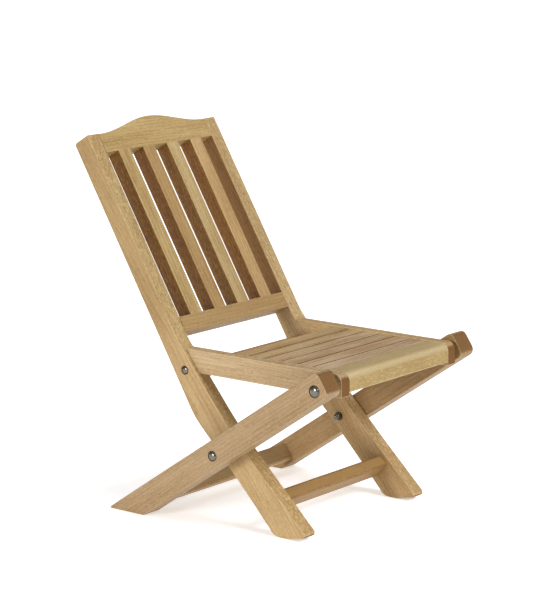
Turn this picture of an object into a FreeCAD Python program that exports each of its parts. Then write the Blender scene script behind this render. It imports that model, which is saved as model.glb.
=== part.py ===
"""Folding garden chair: back frame, rear leg frame and lifting seat.

Millimetres. The origin is on the floor under the middle of the chair, +Z is up
and the sitter faces -Y, so the sitter's right-hand side is -X.
"""
import FreeCAD, Part

import math
import os

V = FreeCAD.Vector

# ---------------------------------------------------------------- main sizes
overall_height = 864.3      # floor to the top of the crest
inside_width = 376.0        # clear width between the two long legs

long_leg_thickness = 38.0   # boards, measured across the chair
short_leg_thickness = 51.0
side_rail_thickness = 28.0
leg_gap = 3.0               # room for the washer between the crossing legs
running_gap = 0.3           # free play between parts that move past each other

k = overall_height / 864.3  # every side-view size grows with the height

# side view: where the bolts are, (y, z)
leg_pivot = (4.0 * k, 171.5 * k)
seat_pivot = (-276.0 * k, 358.0 * k)
rest_centre = (127.0 * k, 338.0 * k)

# long leg, side view
back_lean = 31.0                      # degrees the back leans from upright
stile_foot = (173.0 * k, 446.0 * k)   # where the back is measured from, on its front face
stile_length = 463.0 * k              # from there to the top of the stile
stile_width = 45.5 * k

# short leg, side view
short_leg_slope = 34.2                # degrees above the floor
short_leg_width = 59.5 * k
short_leg_past_pivot = 28.5 * k       # wood beyond the seat pivot

# seat
rail_top = 386.0 * k
rail_height = 52.0 * k
seat_front = -301.0 * k
seat_slat_count = 6
seat_slat_width = 39.2 * k
seat_slat_gap = 4.4 * k
seat_slat_thickness = 18.0 * k
seat_slat_arris = 0.8
seat_slat_drop = 2.5 * k              # slats lie this much below the side rails
front_rail_depth = 59.0 * k
front_rail_height = 43.0 * k
cleat_thickness = 22.0

# back
back_slat_count = 4
back_slat_width = 39.5
back_slat_depth = 36.5 * k
back_rail_depth = 40.0 * k
top_rail_low = 416.0 * k              # straight lower edge of the top rail, up the stile
top_rail_height = stile_length - top_rail_low
crest_rise = 27.5 * k
lower_rail_height = 38.0 * k
lower_rail_top = 2.0 * k               # its upper edge, up the stile from stile_foot
tenon_length = 14.0
tenon_shoulder = 5.0

# bars across the chair
front_stretcher_across = 49.0 * k     # measured across the leg's width
stretcher_across = 42.0 * k           # the same for the rear one
stretcher_along = 31.0 * k            # measured along the leg
rest_rail_below = 20.0 * k            # rail the seat hooks on, measured from its bolts
rest_rail_above = 8.0 * k
rest_lip_above = 2.0 * k              # front lip that carries the seat
rest_groove_depth = 10.0 * k          # groove behind the lip
tongue_thickness = 7.0 * k            # of the hook that drops into the groove

# fixings
bolt_diameter = 10.0
rest_bolt_diameter = 8.0
dowel_diameter = 10.0
dowel_length = 44.0
screw_diameter = 4.5
arris = 1.6                           # softened edges of every board
pivot_clearance = 0.06

# ---------------------------------------------------------------- layers in x
long_leg_in = inside_width / 2
long_leg_out = long_leg_in + long_leg_thickness
short_leg_in = long_leg_out + leg_gap
short_leg_out = short_leg_in + short_leg_thickness
side_rail_out = long_leg_in + side_rail_thickness

lean = math.radians(back_lean)
up_back = (math.sin(lean), math.cos(lean))       # along the stile, upwards
into_back = (math.cos(lean), -math.sin(lean))    # square to it, backwards
slope = math.radians(short_leg_slope)
down_short = (math.cos(slope), -math.sin(slope))     # along the short leg, to the rear foot
across_short = (math.sin(slope), math.cos(slope))    # square to it, upwards

SIDES = {"right": -1, "left": 1}    # the sitter's right-hand side is -X


def onBack(along, depth):
    """A side-view point measured up the back and into it from the front face."""
    return (stile_foot[0] + along * up_back[0] + depth * into_back[0],
            stile_foot[1] + along * up_back[1] + depth * into_back[1])


def onShortLeg(along, above):
    """A side-view point measured down the short leg from the seat pivot line."""
    start = shortLegMiddle(seat_pivot)
    return (start[0] + along * down_short[0] + above * across_short[0],
            start[1] + along * down_short[1] + above * across_short[1])


def shortLegMiddle(point):
    """The nearest point to this one on the middle line of the short leg."""
    middle_height = 145.8 * k
    off = point[0] * across_short[0] + point[1] * across_short[1] - middle_height
    return (point[0] - off * across_short[0], point[1] - off * across_short[1])


def at(x, point):
    return V(x, point[0], point[1])


def lineEdges(points, x=0.0):
    return [Part.makeLine(at(x, a), at(x, b)) for a, b in zip(points[:-1], points[1:])]


def curveEdge(points, x=0.0, start_dir=None, end_dir=None):
    spline = Part.BSplineCurve()
    knots = [at(x, p) for p in points]
    if start_dir is None:
        spline.interpolate(knots)
    else:
        spline.interpolate(Points=knots, InitialTangent=at(0, start_dir), FinalTangent=at(0, end_dir))
    return spline.toShape()


def roundCorner(corner, before, after, radius, x=0.0):
    """Start, middle and end of the arc that rounds one corner of an outline."""
    p = at(x, corner)
    one = at(x, before) - p
    two = at(x, after) - p
    one.normalize()
    two.normalize()
    half = one.getAngle(two) / 2
    reach = radius / math.tan(half)
    bisector = one + two
    bisector.normalize()
    centre = p + bisector * (radius / math.sin(half))
    return p + one * reach, centre - bisector * radius, p + two * reach


def outlineFace(points, radii, x=0.0):
    """A closed outline in the side view with each corner rounded by its radius."""
    edges = []
    marks = []
    count = len(points)
    for i in range(count):
        before = points[i - 1]
        after = points[(i + 1) % count]
        if radii[i] > 0:
            marks.append(roundCorner(points[i], before, after, radii[i], x))
        else:
            marks.append((at(x, points[i]),) * 3)
    for i in range(count):
        here = marks[i]
        following = marks[(i + 1) % count]
        if radii[i] > 0:
            edges.append(Part.Arc(*here).toShape())
        edges.append(Part.makeLine(here[2], following[0]))
    return Part.Face(Part.Wire(edges))


def board(face, x_from, x_to, soften=arris):
    """Extrude a side-view face across the chair and soften its long arrises."""
    face.translate(V(-face.BoundBox.XMin, 0, 0))
    solid = face.extrude(V(x_to - x_from, 0, 0))
    if soften > 0:
        rim = [e for e in solid.Edges if abs(e.BoundBox.XMax - e.BoundBox.XMin) < 1e-6]
        solid = solid.makeFillet(soften, rim)
    solid.translate(V(x_from, 0, 0))
    return solid


def mirrored(solid):
    return solid.mirror(V(0, 0, 0), V(1, 0, 0))


def onSide(solid, side):
    """Parts are drawn on the left, +X, and mirrored for the right."""
    return solid if SIDES[side] > 0 else mirrored(solid)


def rod(diameter, x_from, x_to, point):
    return Part.makeCylinder(diameter / 2, x_to - x_from, at(x_from, point), V(1, 0, 0))


def domedBolt(diameter, head_diameter, head_height, rim, x_seat, x_end, point):
    """A bolt on the +X side: its head sits at x_seat and its shank runs in to x_end."""
    y, z = point
    rise = head_height - rim
    top = Part.Arc(V(x_seat + head_height, y, z),
                   V(x_seat + rim + rise * 0.76, y + head_diameter * 0.3, z),
                   V(x_seat + rim, y + head_diameter / 2, z)).toShape()
    edges = [top,
             Part.makeLine(V(x_seat + rim, y + head_diameter / 2, z), V(x_seat, y + head_diameter / 2, z)),
             Part.makeLine(V(x_seat, y + head_diameter / 2, z), V(x_seat, y + diameter / 2, z)),
             Part.makeLine(V(x_seat, y + diameter / 2, z), V(x_end, y + diameter / 2, z)),
             Part.makeLine(V(x_end, y + diameter / 2, z), V(x_end, y, z)),
             Part.makeLine(V(x_end, y, z), V(x_seat + head_height, y, z))]
    return Part.Face(Part.Wire(edges)).revolve(V(0, y, z), V(1, 0, 0), 360)


def ring(outer, inner, x_from, x_to, point):
    return rod(outer, x_from, x_to, point).cut(rod(inner, x_from - 1, x_to + 1, point))


# ---------------------------------------------------------------- long legs
def longLegFace():
    """One bent board: straight stile above, sweeping forward to the front foot."""
    front_bend = onBack(-41 * k, 0)
    rear_bend = onBack(-200 * k, stile_width)
    front = [front_bend] + [(y * k, z * k) for y, z in (
        (133, 386), (115, 362.5), (95, 337), (72, 309), (35, 264.5), (0, 224), (-46, 177.5),
        (-84, 140), (-139, 87), (-198, 31))]
    rear = [rear_bend] + [(y * k, z * k) for y, z in (
        (76, 211.5), (42, 178), (1, 136), (-41, 92.5), (-84, 47), (-114, 15))]
    toe = (-218.8 * k, 11.0 * k)
    toe_under = (-163 * k, 0.0)
    toe_arc = roundCorner(toe, front[-1], toe_under, 8 * k)
    heel = [rear[-1], (-125 * k, 4 * k), (-139 * k, 0.0)]
    top_front = onBack(stile_length, 0)
    top_rear = onBack(stile_length, stile_width)
    corner = roundCorner(top_rear, top_front, rear_bend, 7 * k)
    down_stile = (-up_back[0], -up_back[1])
    edges = [
        Part.makeLine(at(0, top_front), at(0, front_bend)),
        curveEdge(front, 0.0, down_stile, (-0.72, -0.69)),
        Part.makeLine(at(0, front[-1]), toe_arc[0]),
        Part.Arc(*toe_arc).toShape(),
        Part.makeLine(toe_arc[2], at(0, toe_under)),
        Part.makeLine(at(0, toe_under), at(0, heel[-1])),
        Part.Arc(*[at(0, p) for p in heel[::-1]]).toShape(),
        curveEdge(rear, 0.0, down_stile, (-0.69, -0.72)),
        Part.makeLine(at(0, rear_bend), corner[2]),
        Part.Arc(*corner).toShape(),
        Part.makeLine(corner[0], at(0, top_front)),
    ]
    return Part.Face(Part.Wire(Part.__sortEdges__(edges)))


def frontStretcherMiddle():
    return (-108.0 * k, 69.0 * k)


def longLeg():
    leg = board(longLegFace(), long_leg_in, long_leg_out)
    leg = leg.cut(rod(bolt_diameter + 2 * pivot_clearance, long_leg_in - 1, long_leg_out + 1, leg_pivot))
    leg = leg.cut(rod(rest_bolt_diameter, long_leg_in - 1, long_leg_out + 1, rest_centre))
    recess = rod(rest_head + 2.4, long_leg_out - rest_head_sunk, long_leg_out + 1, rest_centre)
    leg = leg.cut(recess)
    for dowel in frameDowels():
        leg = leg.cut(dowel)
    return leg


# ---------------------------------------------------------------- back
def backBlock(along_from, along_to, depth, x_from, x_to, depth_from=0.0):
    """A straight piece of the back between two heights up the stile."""
    points = [onBack(along_from, depth_from), onBack(along_to, depth_from),
              onBack(along_to, depth_from + depth), onBack(along_from, depth_from + depth)]
    return Part.Face(Part.makePolygon([at(x_from, p) for p in points + points[:1]])).extrude(
        V(x_to - x_from, 0, 0))


def backSlatCentres():
    """The outer openings are a little narrower than the inner ones."""
    pitch = inside_width * 1.125 / (back_slat_count + 1)
    first = -pitch * (back_slat_count - 1) / 2
    return [first + i * pitch for i in range(back_slat_count)]


def backSlat(centre):
    half = back_slat_width / 2
    body = backBlock(lower_rail_top, top_rail_low, back_slat_depth, centre - half, centre + half)
    long_edges = [e for e in body.Edges if e.Length > top_rail_low * 0.9]
    body = body.makeFillet(arris, long_edges)
    tenon = backBlock(lower_rail_top - tenon_length, top_rail_low + tenon_length,
                      back_slat_depth - 2 * tenon_shoulder * k,
                      centre - half + tenon_shoulder, centre + half - tenon_shoulder,
                      tenon_shoulder * k)
    return body.fuse(tenon).removeSplitter()


def lowerBackRail():
    low = lower_rail_top - lower_rail_height
    rail = backBlock(low, lower_rail_top, back_rail_depth, -long_leg_in, long_leg_in)
    lower = [e for e in rail.Edges if e.Length > inside_width * 0.9
             and e.CenterOfMass.z < onBack(low + lower_rail_height / 2, 0)[1]
             and e.CenterOfMass.y < onBack(low, back_rail_depth / 2)[0]]
    return rail.makeFillet(arris, lower)


def crestHeight(x):
    """Height of the crest above the stile tops: flat shoulders, a smooth hump between."""
    reach = inside_width * 0.48
    if abs(x) >= reach:
        return 0.0
    return crest_rise * 0.5 * (1 + math.cos(math.pi * abs(x) / reach))


def topRail():
    knots = []
    steps = 24
    for i in range(steps + 1):
        x = -long_leg_in + inside_width * i / steps
        y, z = onBack(stile_length + crestHeight(x), 0)
        knots.append(V(x, y, z))
    level = V(1, 0, 0)
    crest = Part.BSplineCurve()
    crest.interpolate(Points=knots, InitialTangent=level, FinalTangent=level)
    low_left = at(-long_leg_in, onBack(top_rail_low, 0))
    low_right = at(long_leg_in, onBack(top_rail_low, 0))
    outline = Part.Wire([crest.toShape(), Part.makeLine(knots[-1], low_right),
                         Part.makeLine(low_right, low_left), Part.makeLine(low_left, knots[0])])
    rail = Part.Face(outline).extrude(V(0, *into_back) * back_rail_depth)
    crest_edges = [e for e in rail.Edges if e.Length > inside_width * 0.9
                   and e.CenterOfMass.z > onBack(stile_length, back_rail_depth)[1]]
    return rail.makeFillet(arris, crest_edges)


# ---------------------------------------------------------------- stretchers
def barFace(middle, along_dir, across_dir, along, across, radius):
    corners = []
    for a, b in ((-1, -1), (1, -1), (1, 1), (-1, 1)):
        corners.append((middle[0] + a * along / 2 * along_dir[0] + b * across / 2 * across_dir[0],
                        middle[1] + a * along / 2 * along_dir[1] + b * across / 2 * across_dir[1]))
    return outlineFace(corners, [radius] * 4)


front_leg_dir = (0.711, 0.703)        # the long leg's direction at the front stretcher
front_leg_across = (-0.703, 0.711)


def frontStretcher():
    face = barFace(frontStretcherMiddle(), front_leg_dir, front_leg_across,
                   stretcher_along, front_stretcher_across, 7 * k)
    return board(face, -long_leg_in, long_leg_in, 0)


def rearStretcherMiddle():
    return onShortLeg((rear_stretcher_along), 0)


def rearStretcher():
    face = barFace(rearStretcherMiddle(), down_short, across_short,
                   stretcher_along, stretcher_across, 8 * k)
    return board(face, -short_leg_in, short_leg_in, 0)


rear_stretcher_along = 570.0 * k      # from the seat pivot down the short leg

# ---------------------------------------------------------------- dowels and fixings
rest_head = 18.5
rest_head_sunk = 4.0
pivot_head = 22.0
seat_head = 26.0
head_sunk = 2.5


def acrossDowels(points, x_face):
    """Dowels across one joint face, on both sides of the chair."""
    found = []
    for side in (-1, 1):
        for point in points:
            middle = side * x_face
            found.append(rod(dowel_diameter, middle - dowel_length / 2, middle + dowel_length / 2, point))
    return found


def frameDowels():
    points = []
    for part in (0.3, 0.7):
        points.append(onBack(lower_rail_top - lower_rail_height * part, back_rail_depth * 0.5))
    for part in (0.28, 0.72):
        points.append(onBack(top_rail_low + top_rail_height * part, back_rail_depth * 0.5))
    middle = frontStretcherMiddle()
    for part in (-0.22, 0.22):
        points.append((middle[0] + part * front_stretcher_across * front_leg_across[0],
                       middle[1] + part * front_stretcher_across * front_leg_across[1]))
    return acrossDowels(points, long_leg_in)


def rearDowels():
    middle = rearStretcherMiddle()
    points = []
    for part in (-0.22, 0.22):
        points.append((middle[0] + part * stretcher_across * across_short[0],
                       middle[1] + part * stretcher_across * across_short[1]))
    return acrossDowels(points, short_leg_in)


# ---------------------------------------------------------------- short legs
def shortLegFace():
    half = short_leg_width / 2
    top = -short_leg_past_pivot
    high_top = onShortLeg(top, half)
    low_top = onShortLeg(top, -half)
    high_run = (onShortLeg(0, half)[1]) / math.sin(slope)
    low_run = (onShortLeg(0, -half)[1]) / math.sin(slope)
    rear_tip = onShortLeg(high_run, half)
    front_toe = onShortLeg(low_run, -half)
    return outlineFace([high_top, low_top, front_toe, rear_tip],
                       [14 * k, 16 * k, 14 * k, 2.5 * k])


def shortLeg():
    leg = board(shortLegFace(), short_leg_in, short_leg_out)
    leg = leg.cut(rod(bolt_diameter, short_leg_in - 1, short_leg_out + 1, leg_pivot))
    leg = leg.cut(rod(bolt_diameter + 2 * pivot_clearance, short_leg_in - 1, short_leg_out + 1, seat_pivot))
    leg = leg.cut(rod(pivot_head + 3.0, short_leg_out - head_sunk, short_leg_out + 1, leg_pivot))
    leg = leg.cut(rod(seat_head + 2.4, short_leg_out - head_sunk, short_leg_out + 1, seat_pivot))
    for dowel in rearDowels():
        leg = leg.cut(dowel)
    return leg


# ---------------------------------------------------------------- seat
def railRearLimit(height):
    """How far back the long leg's front face is at this height."""
    face = longLegFace()
    probe = Part.makeLine(V(0, seat_front, height), V(0, 400 * k, height))
    hit = probe.common(face)
    return hit.BoundBox.YMin


def sideRail():
    low = rail_top - rail_height
    leg_front = longLegFace()
    leg_front.translate(V(0, -running_gap * 1.2, 0))
    back_end = railRearLimit(rail_top) + 30 * k
    points = [(seat_front, low), (back_end, low), (back_end, rail_top), (seat_front, rail_top)]
    face = outlineFace(points, [5 * k, 0, 0, 20 * k]).cut(leg_front)
    face = sorted(face.Faces, key=lambda f: f.Area)[-1]
    rail = board(face, long_leg_in, side_rail_out)
    rail = rail.cut(rod(bolt_diameter, long_leg_in - 1, side_rail_out + 1, seat_pivot))
    for dowel in frontRailDowels():
        rail = rail.cut(dowel)
    return rail


def frontRail():
    top = rail_top - seat_slat_drop * 0.4
    low = top - front_rail_height
    rear = seat_front + front_rail_depth
    face = outlineFace([(seat_front, low), (rear, low), (rear, top), (seat_front, top)],
                       [4 * k, 2 * k, 2 * k, 20 * k])
    rail = board(face, -long_leg_in, long_leg_in, 0)
    for dowel in frontRailDowels():
        rail = rail.cut(dowel)
    for insert in seatInserts():
        rail = rail.cut(insertHole(insert))
    return rail


def insertHole(insert):
    box = insert.BoundBox
    middle = ((box.YMin + box.YMax) / 2, (box.ZMin + box.ZMax) / 2)
    return rod(box.YMax - box.YMin, box.XMin, box.XMax, middle)


def frontRailDowels():
    rear = seat_front + front_rail_depth
    height = rail_top - rail_height * 0.45
    return acrossDowels([(rear - 13 * k, height)], long_leg_in)


def seatSlatRears():
    """Rear edge of each seat slat, counted from the front."""
    start = seat_front + front_rail_depth + seat_slat_gap
    pitch = seat_slat_width + seat_slat_gap
    return [start + i * pitch + seat_slat_width for i in range(seat_slat_count)]


def seatSlat(rear):
    top = rail_top - seat_slat_drop
    low = top - seat_slat_thickness
    slat = Part.makeBox(inside_width, seat_slat_width, seat_slat_thickness,
                        V(-long_leg_in, rear - seat_slat_width, low))
    upper = [e for e in slat.Edges if e.CenterOfMass.z > top - 0.01 and e.Length > inside_width * 0.9]
    return slat.makeFillet(seat_slat_arris, upper)


def restLip():
    """Side-view lines of the rest rail: its front, and the front and rear of its groove."""
    y = rest_centre[0]
    return y - 28 * k, y - 21 * k, y - 12 * k


def restRailFace():
    """Rail between the long legs: a front lip, a groove that opens upwards, a higher rear part."""
    y, z = rest_centre
    front, groove_front, groove_rear = restLip()
    low = z - rest_rail_below
    lip = z + rest_lip_above
    top = z + rest_rail_above
    floor = lip - rest_groove_depth
    points = [(front, low), (y + 10 * k, low), (y + 10 * k, top), (groove_rear + 4.8 * k, top),
              (groove_rear, floor), (groove_front, floor), (groove_front, lip), (front, lip)]
    return outlineFace(points, [4 * k, 3 * k, 2.5 * k, 1.5 * k, 0, 0, 1.2 * k, 2 * k])


def cleatFace():
    """Bearer under the slats; its tail rests on the rail's lip and hooks behind it."""
    z = rest_centre[1]
    low = rail_top - rail_height
    top = rail_top - seat_slat_drop - seat_slat_thickness
    front = seat_front + front_rail_depth
    slats_end = seatSlatRears()[-1]
    lip_front, groove_front, groove_rear = restLip()
    lip = z + rest_lip_above
    tail_top = lip + 12 * k
    tongue_front = groove_front + running_gap
    tongue_rear = tongue_front + tongue_thickness
    tongue_low = lip - rest_groove_depth + 2 * running_gap
    neck = lip_front - 4 * running_gap
    points = [(front, low), (neck, low), (neck, lip + running_gap),
              (tongue_front, lip + running_gap), (tongue_front, tongue_low),
              (tongue_rear, tongue_low), (tongue_rear, tail_top),
              (slats_end + 12 * k, tail_top), (slats_end, top), (front, top)]
    return outlineFace(points, [0, 3 * k, 0, 0, 1.5 * k, 2 * k, 5 * k, 0, 0, 0])


def cleat():
    solid = board(cleatFace(), long_leg_in - cleat_thickness, long_leg_in, 0)
    tail_start = railRearLimit(rail_top - rail_height) - 12 * k
    beside_leg = Part.makeBox(2, 200 * k, 200 * k, V(long_leg_in - 2 * running_gap, tail_start, 300 * k))
    solid = solid.cut(beside_leg)
    for screw in slatScrews():
        solid = solid.cut(screw)
    for screw in cleatScrews():
        solid = solid.cut(screw)
    return solid


def countersunkScrew(start, direction, length):
    """A wood screw with a countersunk head flush with its start."""
    head = 2.0 * screw_diameter
    cone = Part.makeCone(head / 2, screw_diameter / 2, head / 2 * 0.7, start, direction)
    shank = Part.makeCylinder(screw_diameter / 2, length, start, direction)
    return cone.fuse(shank).removeSplitter()


def slatScrews():
    """Screws driven up through the cleats into the slats, hidden from above."""
    low = rail_top - rail_height
    length = rail_height - seat_slat_drop - seat_slat_thickness * 0.4
    found = []
    for side in (-1, 1):
        x = side * (long_leg_in - cleat_thickness / 2)
        for rear in seatSlatRears():
            found.append(countersunkScrew(V(x, rear - seat_slat_width / 2, low), V(0, 0, 1), length))
    return found


def cleatScrews():
    """Screws from inside each cleat into the side rail."""
    height = rail_top - rail_height * 0.72
    length = cleat_thickness + side_rail_thickness * 0.6
    found = []
    rears = seatSlatRears()
    for side in (-1, 1):
        for spot in (0, 2, 4):
            y = rears[spot] + seat_slat_gap / 2
            start = V(side * (long_leg_in - cleat_thickness), y, height)
            found.append(countersunkScrew(start, V(side, 0, 0), length))
    return found


def seatInserts():
    """Threaded sleeves in the ends of the front rail for the seat pivot bolts."""
    sleeve = ring(bolt_diameter + 5, bolt_diameter, long_leg_in - 28, long_leg_in, seat_pivot)
    return [sleeve, mirrored(sleeve)]


def restInserts():
    sleeve = ring(rest_bolt_diameter + 3, rest_bolt_diameter, long_leg_in - 26, long_leg_in, rest_centre)
    return [sleeve, mirrored(sleeve)]


def restRail():
    rail = board(restRailFace(), -long_leg_in, long_leg_in, 0)
    for insert in restInserts():
        rail = rail.cut(insertHole(insert))
    return rail


def pair(solid):
    return [solid, mirrored(solid)]


def legBolt():
    return domedBolt(bolt_diameter, pivot_head, 6.4, 1.6, short_leg_out - head_sunk,
                     long_leg_in - 13.0, leg_pivot)


def capNut():
    """Domed nut on the inner face of the long leg."""
    x = long_leg_in - running_gap - 1.8
    y, z = leg_pivot
    across_corners = bolt_diameter * 1.96
    hexagon = Part.makePolygon([V(x, y + across_corners / 2 * math.cos(math.radians(a)),
                                  z + across_corners / 2 * math.sin(math.radians(a)))
                                for a in range(0, 361, 60)])
    base = Part.Face(hexagon).extrude(V(-6.0, 0, 0))
    radius = bolt_diameter * 0.8
    dome = Part.makeSphere(radius, V(x - 6.0, y, z), V(1, 0, 0), -90, 90, 360)
    dome = dome.common(Part.makeBox(radius + 1, 4 * radius, 4 * radius,
                                    V(x - 6.0 - radius - 1, y - 2 * radius, z - 2 * radius)))
    nut = base.fuse(dome).removeSplitter()
    return nut.cut(rod(bolt_diameter, long_leg_in - 13.0, x + 1, leg_pivot))


def nutWasher():
    x = long_leg_in - running_gap
    return ring(20.0, bolt_diameter, x - 1.8, x, leg_pivot)


def legWasher():
    return ring(24.0, bolt_diameter, long_leg_out + running_gap, short_leg_in, leg_pivot)


def seatBolt():
    x_end = long_leg_in - 26
    return domedBolt(bolt_diameter, seat_head, 7.2, 1.6, short_leg_out - head_sunk + running_gap,
                     x_end, seat_pivot)


def seatSpacer():
    return ring(26.0, bolt_diameter, side_rail_out, short_leg_in - running_gap, seat_pivot)


def restBolt():
    return domedBolt(rest_bolt_diameter, rest_head, 5.2, 1.2, long_leg_out - rest_head_sunk,
                     long_leg_in - 24, rest_centre)


# ---------------------------------------------------------------- build
def withMortises(rail, cutters):
    for cutter in cutters:
        rail = rail.cut(cutter)
    return rail


def build():
    nodes = {}
    slats = [backSlat(c) for c in backSlatCentres()]
    dowels = frameDowels()
    leg = longLeg()
    for side in SIDES:
        nodes["long_leg_" + side] = onSide(leg, side)
    nodes["back_top_rail"] = withMortises(topRail(), slats + dowels)
    nodes["back_lower_rail"] = withMortises(lowerBackRail(), slats + dowels)
    for number, slat in enumerate(slats, 1):
        nodes["back_slat_%d" % number] = slat
    nodes["front_stretcher"] = withMortises(frontStretcher(), dowels)
    nodes["back_frame_dowels"] = Part.makeCompound(dowels)
    nodes["seat_rest_rail"] = restRail()
    nodes["rest_rail_inserts"] = Part.makeCompound(restInserts())
    nodes["rest_rail_bolts"] = Part.makeCompound(pair(restBolt()))

    short = shortLeg()
    for side in SIDES:
        nodes["short_leg_" + side] = onSide(short, side)
    nodes["rear_stretcher"] = withMortises(rearStretcher(), rearDowels())
    nodes["rear_stretcher_dowels"] = Part.makeCompound(rearDowels())
    nodes["leg_pivot_bolts"] = Part.makeCompound(pair(legBolt()))
    nodes["leg_pivot_washers"] = Part.makeCompound(pair(legWasher()))
    nodes["leg_pivot_nut_washers"] = Part.makeCompound(pair(nutWasher()))
    nodes["leg_pivot_cap_nuts"] = Part.makeCompound(pair(capNut()))

    rail = sideRail()
    for screw in cleatScrews():
        rail = rail.cut(screw)
    for side in SIDES:
        nodes["seat_side_rail_" + side] = onSide(rail, side)
    nodes["seat_front_rail"] = frontRail()
    for number, rear in enumerate(seatSlatRears(), 1):
        slat = seatSlat(rear)
        nodes["seat_slat_%d" % number] = withMortises(slat, slatScrews())
    bearer = cleat()
    for side in SIDES:
        nodes["seat_cleat_" + side] = onSide(bearer, side)
    nodes["slat_screws"] = Part.makeCompound(slatScrews())
    nodes["cleat_screws"] = Part.makeCompound(cleatScrews())
    nodes["front_rail_dowels"] = Part.makeCompound(frontRailDowels())
    nodes["seat_pivot_inserts"] = Part.makeCompound(seatInserts())
    nodes["seat_pivot_spacers"] = Part.makeCompound(pair(seatSpacer()))
    nodes["seat_pivot_bolts"] = Part.makeCompound(pair(seatBolt()))
    return nodes


def centred(nodes):
    """Move the chair so that the origin is under the middle of its depth."""
    box = Part.makeCompound(list(nodes.values())).optimalBoundingBox(False, False)
    middle = (box.YMin + box.YMax) / 2
    for shape in nodes.values():
        shape.translate(V(0, -middle, 0))
    return middle


if __name__ in ("__main__", "part"):
    os.makedirs("parts", exist_ok=True)
    chair = build()
    middle = centred(chair)
    for name, shape in chair.items():
        shape.exportStep("parts/%s.step" % name)
        print(name, len(shape.Solids), round(shape.Volume), shape.isValid())
    for name, point in (("leg pivot", leg_pivot), ("seat pivot", seat_pivot)):
        print(name, round(point[0] - middle, 4), round(point[1], 4))
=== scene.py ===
import math

import bpy
import numpy as np
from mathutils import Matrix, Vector


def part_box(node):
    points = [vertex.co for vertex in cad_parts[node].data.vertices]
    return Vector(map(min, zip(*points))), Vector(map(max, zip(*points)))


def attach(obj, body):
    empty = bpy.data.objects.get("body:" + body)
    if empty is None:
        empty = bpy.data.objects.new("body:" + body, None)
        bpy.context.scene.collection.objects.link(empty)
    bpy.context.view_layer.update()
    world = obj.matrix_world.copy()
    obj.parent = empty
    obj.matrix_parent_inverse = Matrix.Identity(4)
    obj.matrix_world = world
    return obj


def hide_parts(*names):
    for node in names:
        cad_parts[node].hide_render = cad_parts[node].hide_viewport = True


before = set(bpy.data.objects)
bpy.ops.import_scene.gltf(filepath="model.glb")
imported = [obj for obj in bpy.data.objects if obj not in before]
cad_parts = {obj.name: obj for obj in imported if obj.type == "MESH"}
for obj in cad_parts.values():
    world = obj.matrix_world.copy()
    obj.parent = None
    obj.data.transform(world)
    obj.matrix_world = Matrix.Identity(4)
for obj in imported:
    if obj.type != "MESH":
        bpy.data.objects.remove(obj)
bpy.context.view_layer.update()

scene = bpy.context.scene
print("frame loaded:", len(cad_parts), "nodes")


class Socket:
    # one output of a node; ordinary arithmetic on it adds Math nodes
    def __init__(self, shader, output):
        self.shader = shader
        self.output = output

    def maths(self, operation, *values):
        return self.shader.add("ShaderNodeMath", {"operation": operation}, dict(enumerate(values)))

    def __add__(self, other):
        return self.maths("ADD", self, other)

    def __mul__(self, other):
        return self.maths("MULTIPLY", self, other)

    def __sub__(self, other):
        return self.maths("SUBTRACT", self, other)

    def __rsub__(self, other):
        return self.maths("SUBTRACT", other, self)

    def __pow__(self, other):
        return self.maths("POWER", self, other)

    def __rpow__(self, other):
        return self.maths("POWER", other, self)

    def __abs__(self):
        return self.maths("ABSOLUTE", self)

    __radd__ = __add__
    __rmul__ = __mul__

    def step(self, low, high):
        # 0 below low, 1 above high, a smooth rise between
        return self.shader.add("ShaderNodeMapRange", {"interpolation_type": "SMOOTHSTEP"},
                               {"Value": self, "From Min": low, "From Max": high})


class Shader:
    # one material being built
    def __init__(self, name, **constants):
        self.material = bpy.data.materials.new(name)
        self.material.use_nodes = True
        self.tree = self.material.node_tree
        self.tree.nodes.clear()
        end = self.tree.nodes.new("ShaderNodeOutputMaterial")
        self.surface = self.tree.nodes.new("ShaderNodeBsdfPrincipled")
        self.tree.links.new(self.surface.outputs[0], end.inputs[0])
        for socketName, value in constants.items():
            self.surface.inputs[socketName.replace("_", " ")].default_value = value

    def add(self, kind, settings, inputs, output=0):
        node = self.tree.nodes.new(kind)
        for key, value in settings.items():
            setattr(node, key, value)
        for key, value in inputs.items():
            if isinstance(value, Socket):
                self.tree.links.new(value.output, node.inputs[key])
            else:
                node.inputs[key].default_value = value
        return Socket(self, node.outputs[output])

    def feed(self, socketName, value):
        self.tree.links.new(value.output, self.surface.inputs[socketName])

    def join(self, x, y, z):
        return self.add("ShaderNodeCombineXYZ", {}, {0: x, 1: y, 2: z})

    def vectorMaths(self, operation, one, two=(0.0, 0.0, 0.0), output="Vector"):
        return self.add("ShaderNodeVectorMath", {"operation": operation}, {0: one, 1: two}, output)

    def dot(self, vector, direction):
        return self.vectorMaths("DOT_PRODUCT", vector, direction, "Value")

    def noise(self, vector, scale, detail=2.0, roughness=0.5):
        return self.add("ShaderNodeTexNoise", {},
                        {"Vector": vector, "Scale": scale, "Detail": detail, "Roughness": roughness}, "Fac")

    def mix(self, factor, one, two, blend="MIX"):
        return self.add("ShaderNodeMix", {"data_type": "RGBA", "blend_type": blend},
                        {0: factor, 6: one, 7: two}, 2)

    def tint(self, colour, tone):
        return self.mix(1.0, colour, tone, "MULTIPLY")

    def bump(self, strength, distance, height):
        self.feed("Normal", self.add("ShaderNodeBump", {},
                                     {"Strength": strength, "Distance": distance, "Height": height}))


def rgba(colour, times=1.0):
    return (colour[0] * times, colour[1] * times, colour[2] * times, 1.0)


# the camera: place in metres, lens and sensor in millimetres
view = {
    "place": (-4.2037, -3.3152, 1.5261),
    "towards": (0.77062, 0.60715, -0.19371),
    "lens": 161.604,
    "sensor": 36.0,
    "farthest": 200.0,   # metres
}


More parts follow.
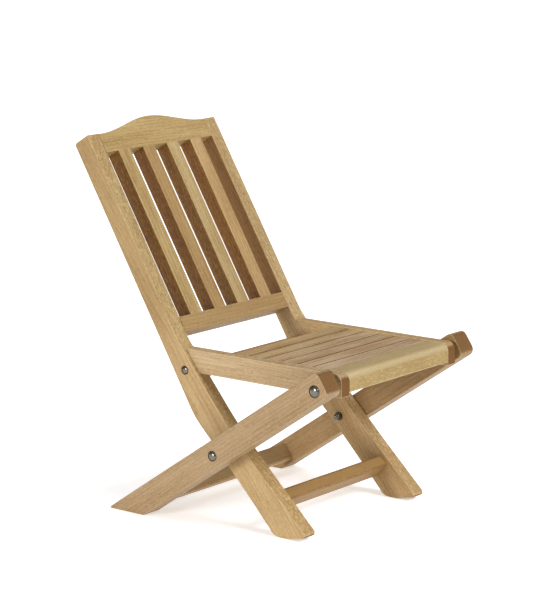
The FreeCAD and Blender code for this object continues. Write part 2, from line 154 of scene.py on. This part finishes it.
def setCamera():
    camera = bpy.data.cameras.new("camera")
    camera.sensor_fit = "HORIZONTAL"
    camera.sensor_width = view["sensor"]
    camera.lens = view["lens"]
    camera.dof.use_dof = False
    camera.clip_end = view["farthest"]
    holder = bpy.data.objects.new("camera", camera)
    holder.location = view["place"]
    holder.rotation_euler = Vector(view["towards"]).to_track_quat("-Z", "Y").to_euler()
    scene.collection.objects.link(holder)
    scene.camera = holder


studio = {
    "sky": 0.24,
    "lamps": {   # where each comes from, strength, softness in degrees
        "front_lamp": ((0.06, -0.76, 0.65), 2.30, 26),
        "side_lamp": ((-0.95, 0.15, 0.25), 1.72, 16),
        "top_lamp": ((0.10, 0.25, 0.96), 0.42, 50),
    },
    "floor": 30.0,          # half its side, metres
    "floorDrop": 0.0003,    # below the feet, so that the two never share a plane
    "floorColour": (0.95, 0.95, 0.95),
    "floorGlow": 0.46,
    "floorRough": 0.9,
    "floorShine": 0.1,
}


def setStudio():
    scene.view_settings.view_transform = "Standard"
    world = bpy.data.worlds.new("studio")
    world.use_nodes = True
    sky = world.node_tree.nodes["Background"]
    sky.inputs["Color"].default_value = (1, 1, 1, 1)
    sky.inputs["Strength"].default_value = studio["sky"]
    scene.world = world
    for name, (source, strength, softness) in studio["lamps"].items():
        lamp = bpy.data.lights.new(name, "SUN")
        lamp.energy = strength
        lamp.angle = math.radians(softness)
        holder = bpy.data.objects.new(name, lamp)
        holder.rotation_euler = (-Vector(source)).to_track_quat("-Z", "Y").to_euler()
        scene.collection.objects.link(holder)
    half = studio["floor"]
    mesh = bpy.data.meshes.new("floor")
    corners = [(-half, -half), (half, -half), (half, half), (-half, half)]
    mesh.from_pydata([(x, y, -studio["floorDrop"]) for x, y in corners], [], [(0, 1, 2, 3)])
    floor = bpy.data.objects.new("floor", mesh)
    scene.collection.objects.link(floor)
    paint = Shader("floor_paint", Roughness=studio["floorRough"], Specular_IOR_Level=studio["floorShine"])
    paint.surface.inputs["Base Color"].default_value = rgba(studio["floorColour"])
    paint.surface.inputs["Emission Color"].default_value = (1, 1, 1, 1)
    paint.surface.inputs["Emission Strength"].default_value = studio["floorGlow"]
    mesh.materials.append(paint.material)


setCamera()
setStudio()
print("camera and studio set")


# the chair's own angles, and the directions in which its boards run and look
lean = math.radians(31.0)          # the back
slope = math.radians(34.2)         # the short legs
sweep = math.radians(37.0)         # plank direction of the bent legs
upBack = (0.0, math.sin(lean), math.cos(lean))
intoBack = (0.0, math.cos(lean), -math.sin(lean))
downLeg = (0.0, math.cos(slope), -math.sin(slope))
upSweep = (0.0, math.sin(sweep), math.cos(sweep))
acrossChair = (1.0, 0.0, 0.0)
frontToBack = (0.0, 1.0, 0.0)
upright = (0.0, 0.0, 1.0)

timber = {
    "pale": (0.545, 0.392, 0.198),
    "deep": (0.325, 0.186, 0.064),
    "pore": (0.140, 0.064, 0.018),
    "edge": (0.720, 0.565, 0.335),
    "end": (0.170, 0.078, 0.020),
    "ringWidth": 0.0068,    # metres
    "ringWaver": 1.6,       # in rings
    "lateSharpness": 2.2,   # how narrow the dark line of each ring is
    "wander": 0.010,        # how far the grain drifts sideways, metres
    "lightFleckShare": 0.75,     # of the dark flecks' strength
    "poreStrength": 0.45,
    "rough": 0.50,
    "bump": (0.30, 0.0006),      # strength, height in metres
    "endGrain": (140, 900),      # dots to the metre, along the board and across it
}

# the cell of each noise: length along the grain and width across it, in metres, and a shift that
# sets the noises apart
cells = {
    "drift": (0.22, 0.045, 3.1),
    "rings": (0.30, 0.030, 7.7),
    "broad": (0.26, 0.034, 11.0),
    "streaks": (0.085, 0.0042, 17.0),
    "fibres": (0.022, 0.0011, 23.0),
    "flecks": (0.0082, 0.0025, 31.0),
    "pores": (0.0130, 0.0010, 41.0),
}

# each board: grain direction, the way its broad face looks, shade (r, g, b) of its broad faces,
# of its narrow sides and of its ends; then the pith's offset across and through the board in
# metres, and the strength of its figure. The shades are partly the timber's own tone from board
# to board and partly painted light and shade, as marked below
plainSide = (1.0, 1.0, 1.0)
# painted shade: the back slats' narrow sides, tinted dark brown where the slats shade each other across the
# gaps
slatGapShade = (0.70, 0.465, 0.155)
# painted shade: the seat slats' narrow sides, dark so that the gaps between the seat slats read as dark lines
seatGapShade = (0.36, 0.27, 0.18)
darkEnd = (0.88, 0.78, 0.42)
paleEnd = (1.02, 1.06, 1.10)
boards = {
    "long_leg_right": (upSweep, acrossChair, (0.94, 0.92, 0.87), (1.04, 1.05, 1.02), plainSide,
                       (0.09, 0.05), 0.7),
    # painted light and shade on the far long leg: broad faces darker for its inner face turned away from the
    # side lamp, narrow sides lighter to lift its front face in the seat's shadow
    "long_leg_left": (upSweep, acrossChair, (0.90, 0.85, 0.78), (1.10, 1.16, 1.24), plainSide,
                      (-0.07, 0.06), 0.7),
    "short_leg_right": (downLeg, acrossChair, (0.77, 0.75, 0.79), plainSide, paleEnd,
                        (0.12, -0.08), 0.7),
    # painted shade on the far short leg: broad faces darker for its inner face turned away from the side lamp
    "short_leg_left": (downLeg, acrossChair, (0.71, 0.65, 0.58), plainSide, paleEnd,
                       (-0.10, 0.09), 0.7),
    "back_top_rail": (acrossChair, intoBack, (0.92, 0.94, 0.82), plainSide, plainSide,
                      (0.14, 0.05), 0.7),
    "back_lower_rail": (acrossChair, intoBack, (0.80, 0.75, 0.64), plainSide, plainSide,
                        (-0.07, 0.04), 0.6),
    "back_slat_1": (upBack, intoBack, (0.88, 0.89, 0.78), slatGapShade, plainSide,
                    (0.05, 0.04), 1.0),
    "back_slat_2": (upBack, intoBack, (0.80, 0.74, 0.62), slatGapShade, plainSide,
                    (-0.04, 0.06), 0.8),
    "back_slat_3": (upBack, intoBack, (0.88, 0.90, 0.84), slatGapShade, plainSide,
                    (0.03, -0.05), 1.0),
    "back_slat_4": (upBack, intoBack, (0.92, 0.86, 0.78), slatGapShade, plainSide,
                    (0.06, 0.03), 0.8),
    "front_stretcher": (acrossChair, upright, (0.54, 0.43, 0.27), plainSide, plainSide,
                        (0.04, 0.03), 0.8),
    "rear_stretcher": (acrossChair, upright, (0.80, 0.74, 0.66), plainSide, plainSide,
                       (0.05, -0.04), 0.8),
    "seat_rest_rail": (acrossChair, upright, (0.72, 0.62, 0.48), plainSide, plainSide,
                       (0.05, 0.04), 0.8),
    "seat_side_rail_right": (frontToBack, acrossChair, (0.98, 1.00, 1.12), plainSide, darkEnd,
                             (0.10, 0.05), 0.7),
    "seat_side_rail_left": (frontToBack, acrossChair, (0.96, 0.94, 0.90), plainSide, darkEnd,
                            (0.08, -0.05), 0.7),
    "seat_front_rail": (acrossChair, upright, (0.94, 1.02, 1.04), (0.86, 0.80, 0.62), plainSide,
                        (0.06, -0.03), 0.42),
    "seat_slat_1": (acrossChair, upright, (1.01, 1.05, 1.34), seatGapShade, plainSide,
                    (0.05, -0.04), 1.5),
    "seat_slat_2": (acrossChair, upright, (1.04, 1.04, 1.26), seatGapShade, plainSide,
                    (-0.05, -0.05), 1.6),
    "seat_slat_3": (acrossChair, upright, (0.95, 0.95, 1.08), seatGapShade, plainSide,
                    (0.06, -0.03), 1.5),
    "seat_slat_4": (acrossChair, upright, (1.02, 1.05, 1.22), seatGapShade, plainSide,
                    (0.04, -0.06), 1.6),
    "seat_slat_5": (acrossChair, upright, (0.93, 0.92, 0.96), seatGapShade, plainSide,
                    (-0.06, -0.04), 1.4),
    "seat_slat_6": (acrossChair, upright, (0.91, 0.89, 0.90), seatGapShade, plainSide,
                    (0.05, -0.05), 1.3),
    "seat_cleat_right": (frontToBack, acrossChair, (0.80, 0.72, 0.60), plainSide, plainSide,
                         (0.05, 0.05), 1.0),
    "seat_cleat_left": (frontToBack, acrossChair, (0.80, 0.72, 0.60), plainSide, plainSide,
                        (-0.05, 0.05), 1.0),
}

# the long legs' upper halves, the stiles of the back, are tinted darker towards the top: (r, g, b) of
# their broad faces, of their narrow faces, and again of the inner faces beside the slats, a painted
# shade where the slats shadow them
stile = {
    "broad": (0.81, 0.78, 0.69),
    "narrow": (0.90, 0.91, 0.90),
    "inner": (0.96, 0.78, 0.50),
    "upperRise": (-0.05, 0.15),       # metres up the leg from its middle
    "slatShadowRise": (0.015, 0.045),
    "inward": {"long_leg_right": 1.0, "long_leg_left": -1.0},   # the way the inner face looks along x
}
untouched = (1, 1, 1, 1)


def stileTonesAndShade(wood, name, along, outward, facing, sideMask):
    # darker up the leg; the inner faces beside the slats also get a painted shade from the slats
    upper = along.step(*stile["upperRise"])
    slatShadowMask = (outward * stile["inward"][name]).step(0.5, 0.9) * along.step(*stile["slatShadowRise"])
    return (wood.mix(upper * facing.step(0.3, 0.8), untouched, rgba(stile["broad"])),
            wood.mix(upper * sideMask, untouched, rgba(stile["narrow"])),
            wood.mix(slatShadowMask, untouched, rgba(stile["inner"])))


def woodShader(name, grain, face, shade, sideShade, endShade, pith, figure, seed):
    # planed, oiled timber: growth rings round a pith outside the board, streaks, short ray
    # flecks and pores along the grain, paler softened edges, darker end grain
    wood = Shader(name, Specular_IOR_Level=0.35)
    middle = sum(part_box(name), Vector()) / 2
    edgeways = Vector(grain).cross(Vector(face))
    place = wood.add("ShaderNodeTexCoord", {}, {}, "Object")
    normal = wood.add("ShaderNodeTexCoord", {}, {}, "Normal")
    along = wood.dot(place, grain) - Vector(grain).dot(middle)
    across = wood.dot(place, edgeways) - edgeways.dot(middle)
    through = wood.dot(place, face) - Vector(face).dot(middle)

    def grained(cell, detail=2.0, roughness=0.5):
        # a noise whose cells are drawn out along the grain
        length, width, shift = cells[cell]
        stretched = wood.join(along * (1 / length) + (seed + shift), across * (1 / width) + 2.7 * shift,
                              through * (1 / width) + 1.3 * seed)
        return wood.noise(stretched, 1.0, detail, roughness)

    # rings: the fractional part of the distance to the wandering pith, sharpened
    drift = grained("drift") - 0.5
    acrossRings = across + drift * timber["wander"] - pith[0]
    throughRings = through + drift * (timber["wander"] * 0.6) - pith[1]
    radius = (acrossRings * acrossRings + throughRings * throughRings) ** 0.5
    ringPhase = radius * (1 / timber["ringWidth"]) + grained("rings") * timber["ringWaver"]
    lateWood = ringPhase.maths("FRACT", ringPhase) ** timber["lateSharpness"]

    broad = grained("broad", 3.0)
    streaks = grained("streaks", 3.0, 0.6)
    fibres = grained("fibres", 2.0, 0.6)
    flecks = grained("flecks", 1.5, 0.55)
    darkFleck = flecks.step(0.56, 0.72)
    lightFleck = 1 - flecks.step(0.30, 0.44)
    poreMask = grained("pores", 1.0).step(0.62, 0.74)

    # facing is 1 on the broad faces; the short flecks show most on the narrow sides
    outward = wood.dot(normal, face)
    facing = abs(outward)
    sideMask = 1.0 - facing.step(0.05, 0.45)
    flecking = (0.38 + sideMask * 0.60) * min(1.0, figure * 1.4)

    depth = 0.40 + ((broad - 0.5) * 0.95 + lateWood * 0.26 + (streaks - 0.5) * 0.80 - 0.08) * figure
    colour = wood.mix(depth.step(0.0, 0.85), rgba(timber["pale"]), rgba(timber["deep"]))
    colour = wood.mix(darkFleck * flecking, colour, rgba(timber["deep"], 0.80))
    colour = wood.mix(lightFleck * (flecking * timber["lightFleckShare"]), colour, rgba(timber["edge"]))
    colour = wood.mix(poreMask * timber["poreStrength"], colour, rgba(timber["pore"]))
    # the narrow sides take their board's side tint; on the back slats and seat slats this is painted shade
    # between the slats
    colour = wood.mix(sideMask, colour, wood.tint(colour, rgba(sideShade)))

    # arris: where the normal is between the broad face's and the side's, the edge is coloured paler
    sideSquare = 1.0 - facing * facing
    sideways = sideSquare.maths("MAXIMUM", sideSquare, 0.0) ** 0.5
    arris = (1.0 - facing.maths("MAXIMUM", facing, sideways)).step(0.03, 0.22)
    colour = wood.mix(arris * (0.22 + streaks * 0.35) * sideShade[1], colour, rgba(timber["edge"]))

    colour = wood.tint(colour, rgba(shade))
    # the stiles darker towards the top, with painted shade on their inner faces beside the slats
    if name in stile["inward"]:
        for tone in stileTonesAndShade(wood, name, along, outward, facing, sideMask):
            colour = wood.tint(colour, tone)

    dotsAlong, dotsAcross = timber["endGrain"]
    endDots = wood.noise(wood.join(along * dotsAlong, across * dotsAcross, through * dotsAcross), 1.0)
    endRings = lateWood * 0.55 + endDots.step(0.52, 0.70) * 0.35 + broad * 0.3
    endColour = wood.mix(endRings, rgba(timber["end"], 1.25), rgba(timber["end"], 0.62))
    endwise = abs(wood.dot(normal, grain)).step(0.66, 0.93)
    wood.feed("Base Color", wood.mix(endwise, colour, wood.tint(endColour, rgba(endShade))))

    wood.feed("Roughness", timber["rough"] + streaks * 0.16 + poreMask * 0.18 + endwise * 0.15 - 0.04)
    wood.bump(*timber["bump"], fibres * 0.30 + flecks * 0.22 + streaks * 0.25 - poreMask * 0.55)
    return wood.material


def dress(node, material):
    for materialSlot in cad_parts[node].material_slots:
        materialSlot.material = material


seedStep = 4.37      # moves each board to its own place in the noises
for number, (name, look) in enumerate(boards.items(), 1):
    dress(name, woodShader(name, *look, seedStep * number))
print("timber on", len(boards), "boards")


# the small fixings' materials: dowels and discs by colour, metals by colour and roughness
turnings = {
    "dowel_wood": (0.52, 0.38, 0.22),
    "spacer_wood": (0.24, 0.13, 0.055),
}
metals = {
    "bolt_steel": ((0.185, 0.17, 0.145), 0.16),
    "screw_steel": ((0.56, 0.56, 0.55), 0.32),
    "insert_brass": ((0.62, 0.44, 0.16), 0.30),
}
metalMarks = {"lathe": 5200, "scratch": 900.0, "grime": 260.0}      # to the metre
fixings = {
    "dowel_wood": ("back_frame_dowels", "rear_stretcher_dowels", "front_rail_dowels"),
    "spacer_wood": ("seat_pivot_spacers",),
    "bolt_steel": ("leg_pivot_washers", "leg_pivot_nut_washers", "leg_pivot_cap_nuts"),
    "screw_steel": ("slat_screws", "cleat_screws"),
    "insert_brass": ("rest_rail_inserts", "seat_pivot_inserts"),
}


def plainWood(name, colour):
    # fine fibres along x
    wood = Shader(name, Specular_IOR_Level=0.3)
    place = wood.add("ShaderNodeTexCoord", {}, {}, "Object")
    fibres = wood.noise(wood.vectorMaths("MULTIPLY", place, (60.0, 900.0, 900.0)), 1.0, 3.0)
    wood.feed("Base Color", wood.mix(fibres.step(0.3, 0.75), rgba(colour), rgba(colour, 0.6)))
    wood.feed("Roughness", 0.55 + fibres * 0.2)
    wood.bump(0.25, 0.0004, fibres)
    return wood.material


def middleOf(node):
    low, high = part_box(node)
    return ((low.y + high.y) / 2, (low.z + high.z) / 2)


pivots = [middleOf(node) for node in ("leg_pivot_bolts", "seat_pivot_bolts", "rest_rail_bolts")]


def turnedSteel(name, colour, rough):
    # faint rings turned round the nearest bolt's axis, small scratches, a little grime
    steel = Shader(name, Metallic=1.0)
    place = steel.add("ShaderNodeTexCoord", {}, {}, "Object")
    nearest = None
    for y, z in pivots:
        away = steel.vectorMaths("SUBTRACT", place, (0.0, y, z))
        flat = steel.vectorMaths("MULTIPLY", away, (0.0, 1.0, 1.0))
        reach = steel.vectorMaths("LENGTH", flat, output="Value")
        nearest = reach if nearest is None else reach.maths("MINIMUM", reach, nearest)
    lathe = steel.noise(steel.join(nearest * metalMarks["lathe"], 0.0, 0.0), 1.0)
    scratch = steel.noise(place, metalMarks["scratch"], 3.0, 0.6)
    grime = steel.noise(place, metalMarks["grime"]).step(0.52, 0.72)
    steel.feed("Base Color", steel.mix(grime * 0.35, rgba(colour), rgba(colour, 0.55)))
    steel.feed("Roughness", rough + lathe * 0.10 + scratch * 0.08 + grime * 0.12)
    steel.bump(0.12, 0.0002, lathe * 0.5 + scratch * 0.3)
    return steel.material


materials = {name: plainWood(name, colour) for name, colour in turnings.items()}
materials.update({name: turnedSteel(name, *metal) for name, metal in metals.items()})
for name, nodes in fixings.items():
    for node in nodes:
        dress(node, materials[name])
print("materials on the small fixings")

# the bolts, in metres: radii of shank and head, the head's height and that of its rim
bolts = {
    "leg_pivot_bolts": {"body": "rear_leg_frame",
                        "shank": 0.005, "head": 0.011, "height": 0.0064, "rim": 0.0016},
    "seat_pivot_bolts": {"body": "seat",
                         "shank": 0.005, "head": 0.013, "height": 0.0072, "rim": 0.0016},
    "rest_rail_bolts": {"body": "back_frame",
                        "shank": 0.004, "head": 0.00925, "height": 0.0052, "rim": 0.0012},
}
turning = {
    "sides": 72,
    "shankRings": 12,
    "domeRings": 22,
    "tip": 0.00002,      # radius at both poles
    "lip": 0.0006,       # widest rounding of the rim's edges
}


def spun(profile, axisPoint, sideSign, count):
    # a surface of revolution round a line across the chair; profile points are (out from the axis,
    # along it), and a point is (sideSign * along, out * cos(turn), out * sin(turn))
    turn = np.linspace(0, 2 * math.pi, count, endpoint=False)
    out, along = np.array(profile, float).T
    ringCount = len(profile)
    points = np.empty((ringCount, count, 3))
    points[..., 0] = sideSign * along[:, None]
    points[..., 1] = axisPoint[0] + out[:, None] * np.cos(turn)
    points[..., 2] = axisPoint[1] + out[:, None] * np.sin(turn)
    row, column = np.meshgrid(np.arange(ringCount - 1), np.arange(count), indexing="ij")
    following = (column + 1) % count
    quads = np.stack([row * count + column, row * count + following,
                      (row + 1) * count + following, (row + 1) * count + column], -1).reshape(-1, 4)
    if sideSign < 0:
        quads = quads[:, ::-1]
    return points.reshape(-1, 3), quads


def boltProfile(low, high, size):
    # from the inner end's middle out along the shank, under the head, round the lip and over the
    # dome, a quarter ellipse
    head, rim, height, shank = size["head"], size["rim"], size["height"], size["shank"]
    tip = turning["tip"]
    seat = high - height
    lip = min(rim * 0.45, turning["lip"])
    profile = [(tip, low), (shank * 0.82, low), (shank, low + 0.0010)]
    profile += [(shank, at) for at in np.linspace(low + 0.002, seat - 0.0004, turning["shankRings"])]
    profile += [(shank, seat), (head - lip, seat), (head - lip * 0.3, seat + lip * 0.3), (head, seat + lip)]
    profile += [(head, seat + rim - lip), (head - lip * 0.3, seat + rim - lip * 0.3), (head - lip, seat + rim)]
    domeFoot = head - lip * 1.8
    angles = np.linspace(0.06, math.pi / 2, turning["domeRings"])[:-1]
    dome = [(domeFoot * math.cos(a), seat + rim + (height - rim) * math.sin(a)) for a in angles]
    return profile + dome + [(tip, high)]


def makeMesh(name, points, faces, material):
    mesh = bpy.data.meshes.new(name)
    mesh.from_pydata(points.tolist(), [], faces.tolist())
    mesh.polygons.foreach_set("use_smooth", [True] * len(mesh.polygons))
    mesh.materials.append(material)
    mesh.update()
    piece = bpy.data.objects.new(name, mesh)
    scene.collection.objects.link(piece)
    return piece


def makeBolts(node, size):
    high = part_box(node)[1]
    innerEnd = min(abs(v.co.x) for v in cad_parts[node].data.vertices)
    allPoints, allFaces = [], []
    for sideSign in (-1, 1):
        points, quads = spun(boltProfile(innerEnd, high.x, size), middleOf(node), sideSign, turning["sides"])
        allFaces.append(quads + sum(len(p) for p in allPoints))
        allPoints.append(points)
    piece = makeMesh(node.replace("_bolts", "_dome_bolts"), np.concatenate(allPoints),
                     np.concatenate(allFaces), materials["bolt_steel"])
    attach(piece, size["body"])
    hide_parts(node)


for node, size in bolts.items():
    makeBolts(node, size)
print("bolts made")
